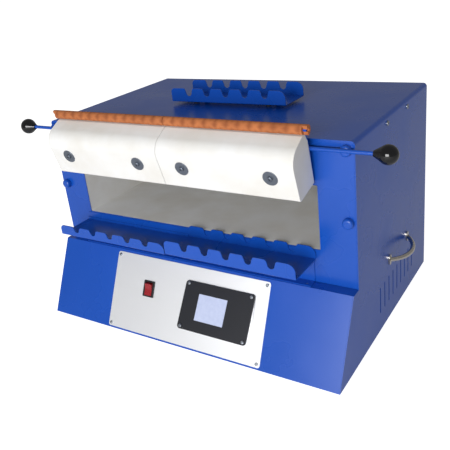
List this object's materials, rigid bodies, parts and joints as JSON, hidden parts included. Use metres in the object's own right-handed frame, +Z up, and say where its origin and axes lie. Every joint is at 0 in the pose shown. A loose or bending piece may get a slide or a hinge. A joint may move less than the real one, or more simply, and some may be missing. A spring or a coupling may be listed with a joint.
{
  "type": "electric kiln",
  "caption": "Bench-top bead-annealing kiln: fibre-lined steel case, flip-up front doors with rod handles, notched rod rests and a sloping control panel.",
  "frame": {"origin": "centre of the kiln's box, on the surface that its rubber feet stand on", "axes": "+X to the right as seen from the front, +Y to the back, +Z up; the doors and control panel face -Y"},
  "size_m": [0.773, 0.4794, 0.431],
  "materials": {
    "blue_enamel": "gloss powder coat",
    "stainless": "fine brushed",
    "plated_steel": "bright plated",
    "zinc_steel": "zinc plated",
    "fibre": "matt vacuum-formed ceramic fibre",
    "sleeve": "braided silica sleeve coated rust-brown",
    "element": "oxidised resistance wire",
    "porcelain": "glazed",
    "black_plastic": "fine texture",
    "black_knob": "gloss phenolic",
    "controller": "matt polycarbonate overlay",
    "screen": "gloss",
    "rocker": "translucent red",
    "circuit": "laminate",
    "rubber": "matt",
    "lead_wire": "glass braid",
    "brass": "plain"
  },
  "bodies": {
    "kiln": {"case_wrap": "blue_enamel", "front_panel": "blue_enamel", "back_panel": "blue_enamel", "back_screws": "zinc_steel", "base_pan": "blue_enamel", "deck_sheet": "zinc_steel", "feet": "rubber", "foot_screws": "zinc_steel", "stop_bolts": "blue_enamel", "power_inlet": "black_plastic", "inlet_pins": "brass", "floor_fibre": "fibre", "side_fibre": "fibre", "back_fibre": "fibre", "roof_fibre": "fibre", "heating_element": "element", "element_terminals": "porcelain", "element_leads": "lead_wire", "thermocouple": "element", "thermocouple_head": "porcelain", "control_panel": "blue_enamel", "faceplate": "stainless", "faceplate_screws": "zinc_steel", "controller_wedge": "stainless", "controller_plate": "controller", "controller_screen": "screen", "controller_board": "circuit", "controller_standoffs": "zinc_steel", "switch_body": "black_plastic", "switch_blades": "brass", "rest_plate": "blue_enamel", "rest_plate_screws": "zinc_steel", "rod_rest_left": "blue_enamel", "rod_rest_right": "blue_enamel", "rod_rest_top": "blue_enamel", "top_rest_spacers": "rubber", "top_rest_screws": "zinc_steel", "hinge_fixed_leaves": "zinc_steel", "hinge_pins": "zinc_steel", "side_handle_right": "plated_steel", "side_handle_left": "plated_steel", "side_screws": "zinc_steel", "transformer": "zinc_steel", "power_relay": "black_plastic", "terminal_block": "porcelain"},
    "door_right": {"door_plate_right": "blue_enamel", "door_block_right": "fibre", "door_fasteners_right": "zinc_steel", "door_sleeve_right": "sleeve", "handle_rod_right": "blue_enamel", "ball_knob_right": "black_knob", "door_hinge_leaf_right": "zinc_steel"},
    "door_left": {"door_plate_left": "blue_enamel", "door_block_left": "fibre", "door_fasteners_left": "zinc_steel", "door_sleeve_left": "sleeve", "handle_rod_left": "blue_enamel", "ball_knob_left": "black_knob", "door_hinge_leaf_left": "zinc_steel"},
    "rocker": {"switch_rocker": "rocker"}
  },
  "joints": [
    {"name": "door_right_hinge", "type": "hinge", "parent": "kiln", "child": "door_right", "pos_m": [0.1262, -0.15175, 0.325], "axis": [1, 0, 0], "range_deg": [0, 162.1]},
    {"name": "door_left_hinge", "type": "hinge", "parent": "kiln", "child": "door_left", "pos_m": [-0.1262, -0.15175, 0.325], "axis": [1, 0, 0], "range_deg": [0, 162.1]},
    {"name": "power_rocker", "type": "hinge", "parent": "kiln", "child": "rocker", "pos_m": [-0.0844, -0.19436, 0.0876], "axis": [1, 0, 0], "range_deg": [-18, 0]}
  ]
}
